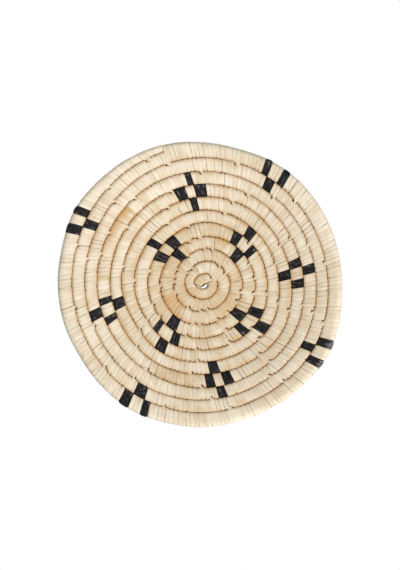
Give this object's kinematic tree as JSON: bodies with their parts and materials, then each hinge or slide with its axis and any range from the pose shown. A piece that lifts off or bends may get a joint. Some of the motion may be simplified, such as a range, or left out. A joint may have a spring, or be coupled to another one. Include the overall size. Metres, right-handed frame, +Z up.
{
  "type": "coiled bamboo wall plate",
  "caption": "Shallow round wall plate of one coiled, strip-wrapped core, with dark checkered diamonds woven into the light rounds; hangs on a wall by its middle.",
  "frame": {"origin": "middle of the centre hole, on the plane of the wall behind the plate", "axes": "+Z up as the plate hangs, -Y out of the hollow face towards the viewer, +Y into the wall, +X to the viewer's right"},
  "size_m": [0.2995, 0.0373, 0.3003],
  "materials": {
    "light_strip": "smooth split strip, satin, warm straw tone",
    "dark_strip": "dyed split strip, near black, satin with a faint grey sheen",
    "core_fibre": "rough fibre bundle, hidden by the strips"
  },
  "bodies": {
    "root": {"coil_core": "core_fibre", "dark_wrap_01_inner": "dark_strip", "dark_wrap_01_left": "dark_strip", "dark_wrap_01_outer": "dark_strip", "dark_wrap_01_right": "dark_strip", "dark_wrap_02_inner": "dark_strip", "dark_wrap_02_left": "dark_strip", "dark_wrap_02_outer": "dark_strip", "dark_wrap_02_right": "dark_strip", "dark_wrap_03_inner": "dark_strip", "dark_wrap_03_left": "dark_strip", "dark_wrap_03_outer": "dark_strip", "dark_wrap_03_right": "dark_strip", "dark_wrap_04_inner": "dark_strip", "dark_wrap_04_left": "dark_strip", "dark_wrap_04_outer": "dark_strip", "dark_wrap_04_right": "dark_strip", "dark_wrap_05_inner": "dark_strip", "dark_wrap_05_left": "dark_strip", "dark_wrap_05_outer": "dark_strip", "dark_wrap_05_right": "dark_strip", "dark_wrap_06_inner": "dark_strip", "dark_wrap_06_left": "dark_strip", "dark_wrap_06_outer": "dark_strip", "dark_wrap_06_right": "dark_strip", "dark_wrap_07_inner": "dark_strip", "dark_wrap_07_left": "dark_strip", "dark_wrap_07_outer": "dark_strip", "dark_wrap_07_right": "dark_strip", "dark_wrap_08_inner": "dark_strip", "dark_wrap_08_left": "dark_strip", "dark_wrap_08_outer": "dark_strip", "dark_wrap_08_right": "dark_strip", "dark_wrap_09_inner": "dark_strip", "dark_wrap_09_left": "dark_strip", "dark_wrap_09_right": "dark_strip", "dark_wrap_10_inner": "dark_strip", "dark_wrap_10_left": "dark_strip", "dark_wrap_10_right": "dark_strip", "dark_wrap_11_inner": "dark_strip", "dark_wrap_11_left": "dark_strip", "dark_wrap_11_right": "dark_strip", "dark_wrap_12_inner": "dark_strip", "dark_wrap_12_left": "dark_strip", "dark_wrap_12_right": "dark_strip", "light_wrap_turn_01": "light_strip", "light_wrap_turn_02": "light_strip", "light_wrap_turn_03": "light_strip", "light_wrap_turn_04": "light_strip", "light_wrap_turn_05": "light_strip", "light_wrap_turn_06": "light_strip", "light_wrap_turn_07": "light_strip", "light_wrap_turn_08": "light_strip", "light_wrap_turn_09": "light_strip", "light_wrap_turn_10": "light_strip", "light_wrap_turn_11": "light_strip"}
  },
  "joints": []
}
